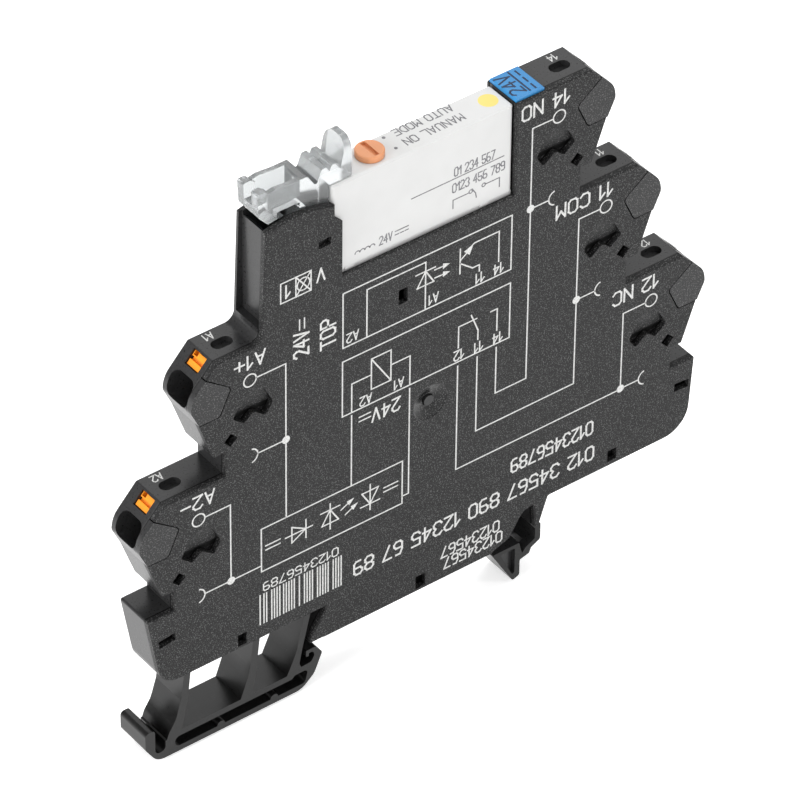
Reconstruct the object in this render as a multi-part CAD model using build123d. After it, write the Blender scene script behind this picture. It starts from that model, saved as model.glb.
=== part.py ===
from build123d import *
import os
from math import asin, cos, radians, sin, tan

# A slim relay module that clips on a 35 mm rail. X runs across the rail, Y along it
# (the thin way of the module) and Z away from it. The origin lies on the seat face
# that rests on the rail. The printed cover faces -Y.

os.makedirs("parts", exist_ok=True)

# Body, seen from the thin side
body_width = 6.2
cover_thickness = 0.9
back_wall = 0.9
rim_wall = 1.1
rib_wall = 0.8
edge_chamfer = 0.18
part_gap = 0.13

# Rail seat and the two ends below it
seat_left = -17.4
seat_right = 17.7
seat_face_left = -15.0
seat_face_right = 12.0
seat_relief = 0.1
belly_height = 5.25
left_end = -42.45
right_end = 45.2
ledge_height = 17.0
end_radius_left = 3.2
end_radius_right = 4.2

# Fixed hook on the right of the rail
hook_slot = 1.35
hook_depth = 7.4
hook_tip_right = 17.45
hook_tip_left = 16.3
hook_shoulder = 20.8
hook_rib = 0.9

# Terminal steps: place of each terminal's own origin
terminal_pitch_x = 8.1
terminal_pitch_z = 18.65
left_terminal_x = -34.5
left_terminal_z = 30.1
right_terminal_x = 37.25
right_terminal_z = 30.5
terminal_top = 4.9
terminal_bottom = -9.9
terminal_root = 3.85

# Push button and wire entry of a terminal
slope_start = 5.1
slope_angle = 48.0
button_along = 2.0
button_across = 2.4
button_length = 4.6
button_travel = 1.5
button_sunk = 0.25
button_collar = 0.45
button_from_corner = 1.35
guide_clearance = 0.12
guide_depth = 3.2
entry_angle = 30.0
entry_across = 4.3
entry_along = 3.9
entry_throat = 3.2
entry_mouth_depth = 1.2
entry_taper_depth = 4.2
entry_bore_depth = 7.6

# Cross-connection slot on each terminal's top
bridge_slot_length = 3.0
bridge_slot_width = 1.8
bridge_slot_depth = 1.0

# Tower for the retaining lever, with its top concentric with the lever's pivot
tower_left = -24.0
tower_foot_left = -24.6
tower_right = -13.5
pivot_x = -19.3
pivot_z = 54.4
arch_radius = 16.6
tower_web = 0.8
web_cut = 0.9
web_top = 69.1
tower_channel = 0.5

# Relay
relay_left = -13.55
relay_length = 27.85
relay_thickness = 5.0
relay_top = 72.4
relay_height = 15.0
relay_case_wall = 0.5
relay_base_height = 1.6
relay_clearance = 0.1
socket_floor = 1.4
window_left = -12.3
window_bottom = 58.5
pin_thickness = 0.5
pin_width = 1.0
pin_reach = 3.6
coil_pin_positions = (-10.6, -6.8)
contact_pin_positions = (4.4, 8.5, 12.6)

# Manual knob
knob_x = -6.05
knob_radius = 1.9
knob_height = 0.85
knob_shaft_radius = 0.9
knob_shaft_length = 2.0
knob_slot_width = 0.75
knob_slot_depth = 0.45
shaft_clearance = 0.05

# Retaining lever
lever_width = 4.2
lever_gap = 0.15
lever_pin_radius = 1.0
lever_pin_reach = 0.5
lever_top = 75.9
fin_top = 78.4
fin_x = -10.3
fin_thickness = 0.9
fin_round = 2.05

# Rail foot
foot_width = 5.5
foot_bottom = -7.4
foot_travel = 2.5
foot_strip = 0.9
foot_bar_height = 1.2
foot_neck = 1.8
foot_clearance = 0.12

# Clamp springs, current bars and the circuit board
spring_thickness = 0.35
spring_width = 3.0
bar_thickness = 0.6
bar_width = 2.6
tail_width = 1.0
board_left = -21.0
board_right = -3.2
board_bottom = 9.5
board_top = 43.5
board_thickness = 1.0

# Marker tag on the upper right terminal
marker_left = 14.5
marker_length = 4.4
marker_thickness = 0.5
marker_sunk = 0.3

front = -body_width / 2
back = body_width / 2
inner_front = front + cover_thickness
inner_back = back - back_wall
relay_right = relay_left + relay_length
relay_bottom = relay_top - relay_height
socket_z = relay_bottom - relay_clearance
latch_width = 1.2
latch_height = 1.9
latch_diagonal = 1.5


def outline(corners):
    """A closed face in the X-Z plane. A corner is (x, z) or (x, z, radius)."""
    count = len(corners)
    starts, mids, ends = [], [], []
    for index, corner in enumerate(corners):
        here = Vector(corner[0], corner[1])
        radius = corner[2] if len(corner) > 2 else 0
        if radius == 0:
            starts.append(here)
            mids.append(None)
            ends.append(here)
            continue
        following = corners[(index + 1) % count]
        before = (Vector(*corners[index - 1][:2]) - here).normalized()
        after = (Vector(*following[:2]) - here).normalized()
        half = radians(before.get_angle(after)) / 2
        reach = radius / tan(half)
        centre = here + (before + after).normalized() * (radius / sin(half))
        starts.append(here + before * reach)
        mids.append(centre + (here - centre).normalized() * radius)
        ends.append(here + after * reach)
    edges = []
    for index in range(count):
        if mids[index] is not None:
            edges.append(ThreePointArc(starts[index], mids[index], ends[index]))
        following = starts[(index + 1) % count]
        if (following - ends[index]).length > 1e-6:
            edges.append(Line(ends[index], following))
    return make_face(Wire(edges))


def slab(face, y_from, y_to):
    """The face of the X-Z plane given a thickness from y_from to y_to."""
    plane = Plane(origin=(0, y_from, 0), x_dir=(1, 0, 0), z_dir=(0, -1, 0))
    return extrude(plane * face, amount=y_to - y_from, dir=(0, 1, 0))


def block(x_from, x_to, y_from, y_to, z_from, z_to):
    """A plain block between two corners."""
    size = (x_to - x_from, y_to - y_from, z_to - z_from)
    return Pos(x_from, y_from, z_from) * Box(*size, align=(Align.MIN, Align.MIN, Align.MIN))


def strip(points, bends, thickness, width, y_middle=0.0):
    """A bent flat strip: its edge line in the X-Z plane, with one radius for each bend."""
    path = FilletPolyline(*[(x, z) for x, z in points], radius=bends)
    face = trace(path, line_width=thickness)
    return slab(face, y_middle - width / 2, y_middle + width / 2)


def pin_along_y(x, z, radius, y_from, y_to):
    """A round pin that lies along Y."""
    turned = Pos(x, (y_from + y_to) / 2, z) * Rot(90, 0, 0)
    return turned * Cylinder(radius, y_to - y_from)


# Terminals

slope_run = (cos(radians(slope_angle)), -sin(radians(slope_angle)))
slope_out = (sin(radians(slope_angle)), cos(radians(slope_angle)))
entry_in = (-cos(radians(entry_angle)), -sin(radians(entry_angle)))
button_foot = (
    slope_start + slope_run[0] * button_from_corner,
    terminal_top + slope_run[1] * button_from_corner,
)
entry_mouth = (8.2, 0.55)

# Name, outward side and step up from the lowest terminal of that side
terminals = {
    "a2": (-1, 0),
    "a1": (-1, 1),
    "12": (1, 0),
    "11": (1, 1),
    "14": (1, 2),
}


def terminal_origin(name):
    side, step = terminals[name]
    x = left_terminal_x if side < 0 else right_terminal_x
    z = left_terminal_z if side < 0 else right_terminal_z
    return x - side * step * terminal_pitch_x, z + step * terminal_pitch_z


def at_terminal(name, solid):
    """A solid made in a terminal's own frame, outward along +X, put in its place."""
    side, _ = terminals[name]
    x, z = terminal_origin(name)
    placed = solid if side > 0 else solid.mirror(Plane.YZ)
    return Pos(x, 0, z) * placed


def terminal_corners(name):
    """The outline of a terminal from its lower root to the end of its top."""
    side, _ = terminals[name]
    x0, z0 = terminal_origin(name)
    local = [
        (terminal_root, terminal_bottom),
        (5.6, terminal_bottom, 0.3),
        (7.75, -3.8),
        (9.05, -1.0, 1.5),
        (8.75, 0.95, 3.4),
        (slope_start, terminal_top, 0.3),
    ]
    return [(x0 + side * c[0], z0 + c[1], *c[2:]) for c in local]


def root_x(name):
    side, _ = terminals[name]
    return terminal_origin(name)[0] + side * terminal_root


def top_z(name):
    return terminal_origin(name)[1] + terminal_top


def arch_corner(radius, x_from, x_to):
    """The corner whose rounding is the arch about the pivot from x_from to x_to."""
    first = asin((x_from - pivot_x) / radius)
    last = asin((x_to - pivot_x) / radius)
    reach = radius / cos((last - first) / 2)
    middle = (first + last) / 2
    return pivot_x + reach * sin(middle), pivot_z + reach * cos(middle), radius


def arch_point(radius, x):
    return x, pivot_z + radius * cos(asin((x - pivot_x) / radius))


def left_corners():
    """From the seat's left end round the left side and over the tower."""
    corners = [
        (seat_face_left, 0),
        (seat_face_left - 0.3, seat_relief),
        (seat_left, seat_relief, 0.2),
        (-16.5, 2.3, 3.0),
        (-14.9, 4.5, 0.3),
        (-14.9, belly_height),
        (-40.4, belly_height, end_radius_left),
        (left_end, ledge_height, 0.3),
        (root_x("a2"), ledge_height),
    ]
    corners += terminal_corners("a2")
    corners += [(root_x("a1"), top_z("a2"))]
    corners += terminal_corners("a1")
    corners += [
        (tower_foot_left, top_z("a1"), 1.4),
        arch_point(arch_radius, tower_left),
        arch_corner(arch_radius, tower_left, tower_right),
        arch_point(arch_radius, tower_right),
        (tower_right, 68.1),
        (window_left, 66.9),
        (window_left, window_bottom),
    ]
    return corners


def right_corners():
    """From the relay window over the right terminals to the right end's flank."""
    corners = [
        (relay_right, window_bottom),
        (relay_right, top_z("14"), 0.3),
    ]
    for name, below in (("14", "11"), ("11", "12")):
        corners += list(reversed(terminal_corners(name)))
        corners += [(root_x(name), top_z(below))]
    corners += list(reversed(terminal_corners("12")))
    corners += [
        (root_x("12"), ledge_height + 0.2),
        (right_end, ledge_height + 0.2, 0.3),
        (44.4, belly_height + 0.1, end_radius_right),
        (21.25, belly_height + 0.1, 0.3),
    ]
    return corners


def cover_corners():
    """The cover stops round the hollow of the fixed hook."""
    return left_corners() + right_corners() + [
        (19.8, 1.0),
        (19.2, 1.0),
        (18.9, 5.0, 0.3),
        (17.4, 4.8, 0.6),
        (16.7, 4.1),
        (15.0, 1.3),
        (12.4, 0.3, 0.6),
        (seat_face_right, 0),
    ]


def housing_corners():
    """The housing carries the hook that grips the rail's right flange."""
    return left_corners() + right_corners() + [
        (19.75, 1.0),
        (hook_shoulder, 0.3, 0.3),
        (hook_shoulder, -2.4, 0.5),
        (19.3, -3.2, 0.3),
        (19.0, -4.0, 0.4),
        (hook_tip_right, -4.4, 0.3),
        (hook_tip_right, 0.4 - hook_depth, 0.5),
        (hook_tip_left, -hook_depth, 0.4),
        (12.8, -hook_slot, 0.25),
        (seat_right, -hook_slot, 0.2),
        (seat_right, seat_relief),
        (seat_face_right + 0.3, seat_relief),
        (seat_face_right, 0),
    ]


def boss_corners(name, growth=0.0):
    """The patch of the cover that gives way to the wire entry's boss."""
    side, _ = terminals[name]
    x0, z0 = terminal_origin(name)
    local = [
        (6.9 - growth, 3.1 + growth),
        (3.0 - growth * 1.3, 0.2, 0.7),
        (4.75 - growth, -3.6 - growth, 0.7),
        (8.2, -3.6 - growth),
        (12.0, -3.6 - growth),
        (12.0, 8.0 + growth),
    ]
    return [(x0 + side * c[0], z0 + c[1], *c[2:]) for c in local]


def entry_plane(depth):
    """Plane across the wire entry, depth further in than its mouth."""
    x = entry_mouth[0] + entry_in[0] * depth
    z = entry_mouth[1] + entry_in[1] * depth
    return Plane(origin=(x, 0, z), x_dir=(0, 1, 0), z_dir=(entry_in[0], 0, entry_in[1]))


def entry_cutter():
    """The funnel and bore that a wire goes into, in the terminal's frame."""
    mouth = RectangleRounded(entry_across, entry_along, 1.2)
    throat = RectangleRounded(entry_throat, entry_throat, entry_throat / 2 - 0.05)
    straight = extrude(entry_plane(-2.0) * mouth, amount=2.0 + entry_mouth_depth)
    taper = loft([entry_plane(entry_mouth_depth) * mouth, entry_plane(entry_taper_depth) * throat])
    bore_length = entry_bore_depth - entry_taper_depth
    bore = extrude(entry_plane(entry_taper_depth) * throat, amount=bore_length)
    return straight + taper + bore


def button_plane(height):
    """Plane parallel to the sloped face, height above it at the button."""
    x = button_foot[0] + slope_out[0] * height
    z = button_foot[1] + slope_out[1] * height
    return Plane(origin=(x, 0, z), x_dir=(slope_run[0], 0, slope_run[1]),
                 z_dir=(slope_out[0], 0, slope_out[1]))


def button_channel():
    """The guide that the release button slides in, in the terminal's frame."""
    along = button_along + 2 * guide_clearance
    across = button_across + 2 * guide_clearance
    profile = Rectangle(along, across)
    return extrude(button_plane(1.0) * profile, amount=-(1.0 + guide_depth + 0.3))


def bridge_slot(name):
    """The blind slot on top of a terminal, in the terminal's frame."""
    side, _ = terminals[name]
    middle = 2.1 if side < 0 else 2.3
    slot = Plane.XY.offset(terminal_top + 0.5) * Pos(middle, 0) * SlotOverall(
        bridge_slot_length, bridge_slot_width)
    return extrude(slot, amount=-(bridge_slot_depth + 0.5))


def terminal_block():
    """Solid plastic round the wire entry and the button guide, in the terminal's frame."""
    return outline([
        (-0.3, 6.0), (-0.3, 3.0), (2.45, 3.05), (4.58, 0.68), (4.0, -0.1), (4.6, -4.2),
        (7.3, -5.2), (10.5, -3.0), (10.5, 5.0), (5.0, 6.0),
    ])


def at_terminal_face(name, face):
    """A face of the X-Z plane put at a terminal."""
    side, _ = terminals[name]
    x, z = terminal_origin(name)
    placed = face if side > 0 else face.mirror(Plane.YZ)
    return Pos(x, z) * placed


def bell_face():
    """Outline of the sunk grip beside each wire entry, in the terminal's frame."""
    return outline([
        (-0.6, -1.5, 0.5), (1.6, -2.9, 1.0), (2.75, -5.1, 0.4), (1.0, -6.5, 0.3),
        (-0.4, -5.3, 0.6), (-2.3, -6.8, 0.4), (-3.4, -5.0, 0.8), (-2.0, -2.3, 0.8),
    ])


def bell_cutter():
    """A ramp that deepens downwards inside the bell outline."""
    ramp = Plane.YZ * make_face(Wire(Polyline(
        (front - 0.3, -1.2), (front, -1.2), (front + 1.25, -7.2), (front - 0.3, -7.2),
        close=True).edges()))
    wedge = Pos(-5, 0, 0) * extrude(ramp, amount=10)
    return wedge & slab(bell_face(), front - 0.3, front + 1.2)


def latch_places():
    """Centre, turn and size of each latch window in the cover."""
    places = []
    for name, (side, _) in terminals.items():
        x, z = terminal_origin(name)
        places.append((x + side * 3.1, z - 8.2, 45, latch_diagonal, latch_diagonal))
    places += [
        (-39.6, 12.65, 8, 2.5, 1.2), (-28.0, 6.7, 0, 1.4, latch_height),
        (-15.1, 64.9, 0, 1.9, latch_width), (-3.0, 50.7, 0, 1.4, 2.3),
        (0.35, 1.6, 0, 1.6, 2.1), (31.7, 7.1, 0, 1.5, latch_height),
        (43.1, 13.3, -4, 2.4, 1.3),
    ]
    return places


rivet_x = 1.5
rivet_z = 31.3
rivet_radius = 0.75
dish_radius = 2.7
dish_depth = 0.6


def dish_cutter():
    """Cone of the dish in the cover's middle, with its through hole."""
    cone = Cone(dish_radius, rivet_radius + 0.35, dish_depth)
    turned = Pos(rivet_x, front + dish_depth / 2, rivet_z) * Rot(-90, 0, 0) * cone
    hole = pin_along_y(rivet_x, rivet_z, rivet_radius + part_gap, front, inner_front)
    return turned + hole


def relay_pocket():
    """The space that the plugged-in relay fills, with its clearance."""
    half = relay_thickness / 2 + relay_clearance
    return block(relay_left - relay_clearance, relay_right + relay_clearance,
                 -half, half, socket_z, relay_top + 10)


def make_side_cover():
    plate = outline(cover_corners())
    bevelled = slab(plate, front, inner_front)
    rim = bevelled.faces().sort_by(Axis.Y)[0].outer_wire().edges()
    cover = chamfer(rim, edge_chamfer)
    for name in terminals:
        cover -= slab(outline(boss_corners(name, part_gap)), front - 1, inner_front + 1)
    for name in terminals:
        pad_face = at_terminal_face(name, offset(bell_face(), 0.4)) & plate
        cover += slab(pad_face, inner_front, inner_front + 0.6)
        cover -= at_terminal(name, bell_cutter())
    cover -= lever_bearing()
    for x, z, turn, width, height in latch_places():
        window = Pos(x, z) * Rot(0, 0, turn) * Rectangle(width, height)
        cover -= slab(window, front - 1, inner_front + 0.1)
    cover -= dish_cutter()
    cover -= relay_pocket()
    cover -= marker_seat(0.05)
    return cover


def cavity_face():
    """The hollow of the housing, seen from the thin side."""
    unrounded = [c if len(c) > 2 and c[2] > 10 else c[:2] for c in cover_corners()]
    hollow = offset(outline(unrounded), -rim_wall, kind=Kind.INTERSECTION)
    web_left = tower_left + tower_channel
    hollow -= panel(tower_left - 2, web_left + tower_web, top_z("a1") + 1, 75.0)
    hollow -= panel(window_left - 0.4, relay_right + 1.2, socket_z - socket_floor, 75.0)
    for name in terminals:
        hollow -= at_terminal_face(name, terminal_block())
    return hollow


def panel(x_from, x_to, z_from, z_to):
    """A rectangle of the X-Z plane between two corners."""
    middle = Pos((x_from + x_to) / 2, (z_from + z_to) / 2)
    return middle * Rectangle(x_to - x_from, z_to - z_from)


def hook_hollow():
    """The cored-out inside of the fixed hook, open to the front and partly below."""
    upper = outline([
        (15.2, 1.3), (16.9, 4.3, 0.5), (18.8, 5.2, 0.4), (19.1, 1.0),
        (hook_shoulder - hook_rib, -0.2), (hook_shoulder - hook_rib, -1.9, 0.3),
        (18.4, -2.7, 0.3), (17.8, -3.4), (16.9, seat_relief),
        (15.0, seat_relief),
    ])
    tooth = outline([
        (14.2, -hook_slot - 0.6, 0.2), (16.6, -hook_slot - 0.6, 0.2),
        (16.6, 1.3 - hook_depth, 0.3), (16.2, 1.1 - hook_depth, 0.2),
    ])
    below = outline([(17.0, -1.6), (18.9, -1.6), (18.9, -5.0), (17.7, -5.0)])
    cut = slab(upper, inner_front - 1, inner_back)
    cut += slab(tooth, inner_front - 1, inner_front + 0.7)
    cut += slab(below, inner_front + 1.4, inner_back)
    return cut


def foot_guide():
    """The T slot in the belly that the foot's bar slides in."""
    left = foot_bar_left - foot_travel - foot_clearance
    right = foot_bar_right + foot_clearance
    bar = block(left, right, inner_front, inner_back, foot_bar_z - foot_clearance,
                foot_bar_z + foot_bar_height + foot_clearance)
    neck_half = foot_neck / 2 + foot_clearance
    neck = block(left, right, -neck_half, neck_half, belly_height - 1, foot_bar_z)
    return bar + neck


def make_housing():
    body = outline(housing_corners())
    housing = slab(body, inner_front, back)
    rim = housing.faces().sort_by(Axis.Y)[-1].outer_wire().edges()
    housing = chamfer(rim, edge_chamfer)
    housing -= slab(cavity_face(), inner_front - 1, inner_back)
    for name in terminals:
        patch = outline(boss_corners(name)) & body
        housing += slab(patch, front, inner_front + 0.2)
    for name in terminals:
        housing -= at_terminal(name, entry_cutter())
        housing -= at_terminal(name, button_channel())
        housing -= at_terminal(name, bridge_slot(name))
    channel = block(tower_left - 2, tower_left + tower_channel, inner_front - 1,
                    back - 0.6, top_z("a1") + 1.6, 75)
    housing -= channel
    housing -= relay_pocket()
    housing -= block(window_left - 0.01, relay_right, -5, 5, window_bottom, 80)
    housing -= lever_room()
    housing -= lever_bearing()
    for x in coil_pin_positions + contact_pin_positions:
        housing -= block(x - pin_thickness / 2 - 0.1, x + pin_thickness / 2 + 0.1,
                         -pin_width / 2 - 0.1, pin_width / 2 + 0.1, 50, relay_top)
    housing -= marker_seat(0.05)
    housing += rivet_boss()
    housing -= hook_hollow()
    housing -= foot_guide()
    return housing


def rivet_boss():
    """Post in the middle of the housing whose end shows in the cover's dish."""
    post = pin_along_y(rivet_x, rivet_z, 1.8, inner_front + 0.05, back - 0.2)
    head = pin_along_y(rivet_x, rivet_z, rivet_radius, front + 0.3, inner_front + 0.05)
    return post + head


# Retaining lever

def lever_bearing():
    """Blind holes for the lever's two pins."""
    half = lever_width / 2 + lever_gap + lever_pin_reach + 0.05
    return pin_along_y(pivot_x, pivot_z, lever_pin_radius + shaft_clearance, -half, half)


def lever_room():
    """Where the lever's arm, hub and foot swing inside the tower.

    The web's top is cut lower, so that the lever's underside clears it
    when the lever is pulled right back.
    """
    half = lever_width / 2 + lever_gap
    web_right = tower_left + tower_channel + tower_web
    room = outline([
        (web_right, 56.5), (-22.5, 51.0), (-16.0, 51.0),
        (-12.0, 52.8), (-12.0, socket_z), (relay_left - 0.05, socket_z),
        (relay_left - 0.05, 76.0), (web_right - web_cut, 76.0),
        (web_right - web_cut, web_top + 0.8), (web_right, web_top),
    ])
    pocket = slab(room, -half, half)
    over_arch = outline([
        arch_point(arch_radius, tower_left - 1.5), (tower_left - 1.5, 78.0),
        (tower_right + 0.5, 78.0), arch_point(arch_radius, tower_right + 0.5),
        arch_corner(arch_radius, tower_left - 1.5, tower_right + 0.5),
    ])
    return pocket + slab(over_arch, -half, half)


def lever_fin():
    """Upright finger tab on the lever's lip, with round upper corners."""
    face = outline([
        (fin_x, relay_top + lever_gap), (fin_x, fin_top, 0.25),
        (fin_x - fin_thickness, fin_top, 0.25), (-12.0, 74.4, 0.6),
        (-12.5, relay_top + lever_gap + 1),  (-12.5, relay_top + lever_gap),
    ])
    ends = Plane(origin=(fin_x + 1, 0, fin_top - 5), x_dir=(0, 1, 0), z_dir=(1, 0, 0))
    rounded = extrude(ends * RectangleRounded(lever_width, 10, fin_round), amount=-5)
    return slab(face, -lever_width / 2, lever_width / 2) & rounded


def make_retaining_lever():
    skirt = arch_radius + lever_gap
    inner_x = relay_left - lever_gap
    lip_z = relay_top + lever_gap
    head = outline([
        (inner_x, relay_top - 5.5), (inner_x, lip_z), (-11.9, lip_z),
        (-11.9, 74.0), (-12.5, 75.4, 0.3), (-13.3, 75.5, 0.2), (-13.7, 74.7),
        (-14.1, 75.5, 0.2), (-14.9, 75.4, 0.2), (-15.7, 73.3, 0.3), (-17.0, 75.4, 0.4),
        (-19.5, 75.4, 0.2), (-21.8, 75.6, 0.2), (-22.8, 75.4, 0.2),
        (-23.4, lever_top, 0.3), (-24.5, lever_top, 0.3), (-24.3, 72.3, 1.0),
        arch_point(skirt, -22.9), arch_corner(skirt, -22.9, -17.3),
        arch_point(skirt, -17.3), (-17.2, 69.8), (-17.2, relay_top - 5.5),
    ])
    arm = outline([
        (-17.2, relay_top - 5.2), (-18.6, pivot_z + 2.5), (-19.3, pivot_z - 2.0, 1.6),
        (-17.0, pivot_z - 1.2, 0.6), (-12.4, pivot_z - 0.8, 0.3),
        (-12.4, pivot_z + 0.35, 0.3), (-15.6, pivot_z + 1.6, 1.2),
        (inner_x - 0.6, relay_top - 9.0), (inner_x, relay_top - 5.2),
    ])
    half = lever_width / 2
    lever = slab(head + arm, -half, half) + lever_fin()
    lever += pin_along_y(pivot_x, pivot_z, 1.9, -half, half)
    pin_half = half + lever_gap + lever_pin_reach
    lever += pin_along_y(pivot_x, pivot_z, lever_pin_radius, -pin_half, pin_half)
    lever -= block(-22.7, -17.9, -half + 0.7, half - 0.7, 72.6, 77)
    lever -= block(-25, -22.0, -half + 1.3, half - 1.3, 73.6, 77)
    for y_side in (-1, 1):
        y_from = min(y_side * 0.5, y_side * (half + 0.1))
        y_to = max(y_side * 0.5, y_side * (half + 0.1))
        lever -= block(-21.6, -18.2, y_from, y_to, 71.1, 72.0)
    return lever


# Relay

def make_relay_case():
    half = relay_thickness / 2
    shell_bottom = relay_bottom + relay_base_height
    outer = block(relay_left, relay_right, -half, half, shell_bottom, relay_top)
    uprights = outer.edges().filter_by(Axis.Z)
    outer = fillet(uprights, 0.5)
    outer = chamfer(outer.faces().sort_by(Axis.Z)[-1].edges(), 0.25)
    wall = relay_case_wall
    inner = block(relay_left + wall, relay_right - wall, -half + wall, half - wall,
                  shell_bottom - 1, relay_top - wall)
    boss = Pos(knob_x, 0, relay_top - 1.5) * Cylinder(
        knob_shaft_radius + 0.6, 3.0 - 2 * wall)
    case = outer - inner + boss
    shaft_hole = Pos(knob_x, 0, relay_top) * Cylinder(
        knob_shaft_radius + shaft_clearance, 2 * (knob_shaft_length + 0.2))
    return case - shaft_hole


def make_relay_base():
    half = relay_thickness / 2
    top = relay_bottom + relay_base_height
    base = block(relay_left + 0.1, relay_right - 0.1, -half + 0.1, half - 0.1,
                 relay_bottom, top)
    wall = relay_case_wall + 0.1
    base += block(relay_left + wall, relay_right - wall, -half + wall, half - wall,
                  top, top + 0.8)
    for x in (-10.9, 9.9):
        base += block(x - 0.7, x + 0.7, -half, half, top - 0.45, top)
    for x in coil_pin_positions + contact_pin_positions:
        base -= pin_hole(x)
    return base


def pin_hole(x):
    return block(x - pin_thickness / 2, x + pin_thickness / 2, -pin_width / 2,
                 pin_width / 2, relay_bottom - 1, relay_bottom + relay_base_height + 2)


coil_left = -12.4
coil_right = -0.6
coil_z = 63.2
yoke_top = 67.3


def pin_blade(x, z_top):
    """A relay pin with a blunt pointed end."""
    blade = block(x - pin_thickness / 2, x + pin_thickness / 2, -pin_width / 2,
                  pin_width / 2, relay_bottom - pin_reach, z_top)
    return chamfer(blade.faces().sort_by(Axis.Z)[0].edges().filter_by(Axis.X), 0.3)


def make_coil_pins():
    solids = {}
    for name, x in zip(("a1", "a2"), coil_pin_positions):
        solids[f"relay_pin_{name}"] = pin_blade(x, relay_bottom + relay_base_height + 1.1)
    return solids


base_tongue_top = relay_bottom + relay_base_height + 0.8


def make_bobbin():
    core_room = Pos((coil_left + coil_right) / 2, 0, coil_z) * Rot(0, 90, 0)
    length = coil_right - coil_left
    tube = core_room * Cylinder(1.1, length)
    for x in (coil_left + 0.3, coil_right - 0.3):
        tube += block(x - 0.3, x + 0.3, -1.85, 1.85, base_tongue_top + 0.05, coil_z + 2.9)
    return tube - core_room * Cylinder(0.75, length + 1)


def make_winding():
    length = coil_right - coil_left - 1.4
    turned = Pos((coil_left + coil_right) / 2, 0, coil_z) * Rot(0, 90, 0)
    profile = RectangleRounded(4.8, 3.5, 1.5)
    tube = turned * extrude(profile, amount=length / 2, both=True)
    return tube - turned * Cylinder(1.15, length + 1)


def make_yoke():
    core = Pos((coil_left + coil_right) / 2 + 0.1, 0, coil_z) * Rot(0, 90, 0)
    rod = core * Cylinder(0.7, coil_right - coil_left + 1.2)
    back_leg = block(coil_left - 0.6, coil_left - 0.05, -1.6, 1.6, coil_z - 2.0, yoke_top)
    top_leg = block(coil_left - 0.6, coil_right + 0.9, -1.6, 1.6, yoke_top - 0.7, yoke_top)
    return rod + back_leg + top_leg


armature_x = coil_right + 1.0
armature_pivot_z = yoke_top - 0.35
armature_card_z = 70.5
moving_contact_x = contact_pin_positions[1] - 1.6


def make_armature():
    """Pivoted plate in front of the core's pole, with the card that works the contact."""
    plate = block(armature_x + 0.55, armature_x + 1.15, -1.5, 1.5, coil_z - 2.2,
                  armature_card_z + 0.8)
    knee = pin_along_y(armature_x + 0.85, armature_pivot_z, 0.5, -1.5, 1.5)
    card = block(armature_x + 1.15, moving_contact_x - 0.6, -0.8, 0.8, armature_card_z,
                 armature_card_z + 0.8)
    return plate + knee + card


def contact_blade(x, z_top, lean):
    """A contact carrier with its pin below the base and its button at the top."""
    foot_z = relay_bottom + relay_base_height + 0.9
    blade = pin_blade(x, foot_z + 0.4)
    blade += strip([(x, foot_z), (x + lean, foot_z + 1.4), (x + lean, z_top)], 0.4,
                   0.3, 2.2)
    return blade


def make_contacts():
    solids = {}
    z_top = coil_z + 3.4
    for name, x, lean, side in (("12", contact_pin_positions[0], 1.0, 1),
                                ("14", contact_pin_positions[2], -3.0, -1)):
        tip = Pos(x + lean + side * 0.35, 0, z_top - 0.9) * Rot(0, 90, 0) * Cylinder(0.8, 0.4)
        solids[f"relay_contact_{name}"] = contact_blade(x, z_top, lean) + tip
    x = contact_pin_positions[1]
    blade = contact_blade(x, armature_card_z + 1.0, moving_contact_x - x)
    tip = Pos(moving_contact_x, 0, z_top - 0.9) * Rot(0, 90, 0) * Cylinder(0.7, 1.6)
    solids["relay_contact_11"] = blade + tip
    return solids


def make_manual_knob():
    disc = Pos(knob_x, 0, relay_top + 0.05 + knob_height / 2) * Cylinder(
        knob_radius, knob_height)
    disc = chamfer(disc.faces().sort_by(Axis.Z)[-1].edges(), 0.12)
    shaft_middle = relay_top + 0.1 - knob_shaft_length / 2
    disc += Pos(knob_x, 0, shaft_middle) * Cylinder(knob_shaft_radius, knob_shaft_length)
    slot = Pos(knob_x, 0, relay_top + 0.05 + knob_height) * Box(
        knob_slot_width, 2 * knob_radius * 0.8, 2 * knob_slot_depth)
    return disc - slot


# Rail foot

foot_bar_z = belly_height + 0.95
foot_bar_left = -36.9
foot_bar_right = -17.5


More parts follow.
